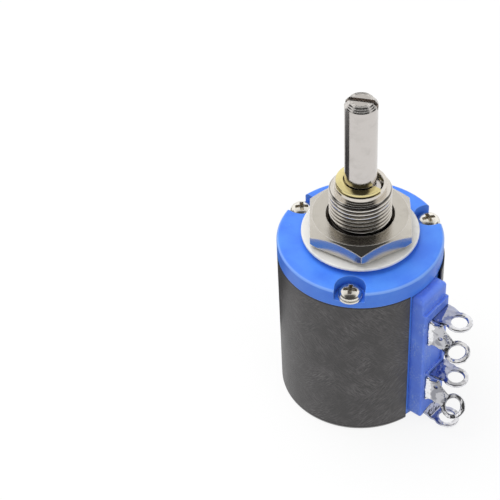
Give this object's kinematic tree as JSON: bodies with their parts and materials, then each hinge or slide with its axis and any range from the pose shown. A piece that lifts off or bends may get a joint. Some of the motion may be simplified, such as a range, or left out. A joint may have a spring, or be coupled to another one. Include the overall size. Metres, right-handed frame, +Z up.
{
  "type": "multiturn potentiometer",
  "caption": "Upright panel-mount multiturn potentiometer with a slotted shaft, threaded bushing, flat nut and ring solder lugs down one side.",
  "frame": {"origin": "centre of the flat base, on the shaft's axis", "axes": "+Z up along the shaft towards its slotted tip, +X towards the terminal block"},
  "size_m": [0.0284, 0.021, 0.0467],
  "materials": {
    "blue_moulding": "satin",
    "black_film": "satin",
    "nickel_plate": "satin",
    "plated_steel": "satin",
    "ground_steel": "satin",
    "tinned_brass": "satin",
    "spring_brass": "satin",
    "resistance_wire": "satin",
    "pale_moulding": "matte"
  },
  "bodies": {
    "body": {"housing": "blue_moulding", "sleeve": "black_film", "terminal_block": "blue_moulding", "front_cover": "blue_moulding", "rear_cover": "blue_moulding", "bushing": "nickel_plate", "panel_washer": "nickel_plate", "hex_nut": "nickel_plate", "cover_screws": "plated_steel", "resistance_coil": "resistance_wire", "slip_ring_brush": "spring_brass", "front_end_lug": "tinned_brass", "front_tap_lug": "tinned_brass", "wiper_lug": "tinned_brass", "rear_tap_lug": "tinned_brass", "rear_end_lug": "tinned_brass", "front_end_lead": "tinned_brass", "front_tap_lead": "tinned_brass", "wiper_lead": "tinned_brass", "rear_tap_lead": "tinned_brass", "rear_end_lead": "tinned_brass"},
    "rotor": {"shaft": "ground_steel", "retaining_clip": "spring_brass", "thrust_washer": "spring_brass", "rotor": "pale_moulding", "collector_rod": "spring_brass", "slip_ring": "spring_brass"},
    "carriage": {"wiper_carriage": "pale_moulding", "wiper_blade": "spring_brass"}
  },
  "joints": [
    {"name": "shaft_spin", "type": "hinge", "parent": "body", "child": "rotor", "pos_m": [0, 0, 0], "axis": [0, 0, -1], "range_deg": [-900, 900]},
    {"name": "carriage_travel", "type": "slide", "parent": "rotor", "child": "carriage", "axis": [0, 0, -1], "range_m": [-0.00751, 0.00751]}
  ],
  "couplings": [
    {"joint": "carriage_travel", "follows": "shaft_spin", "m_per_rad": 0.00047746}
  ]
}
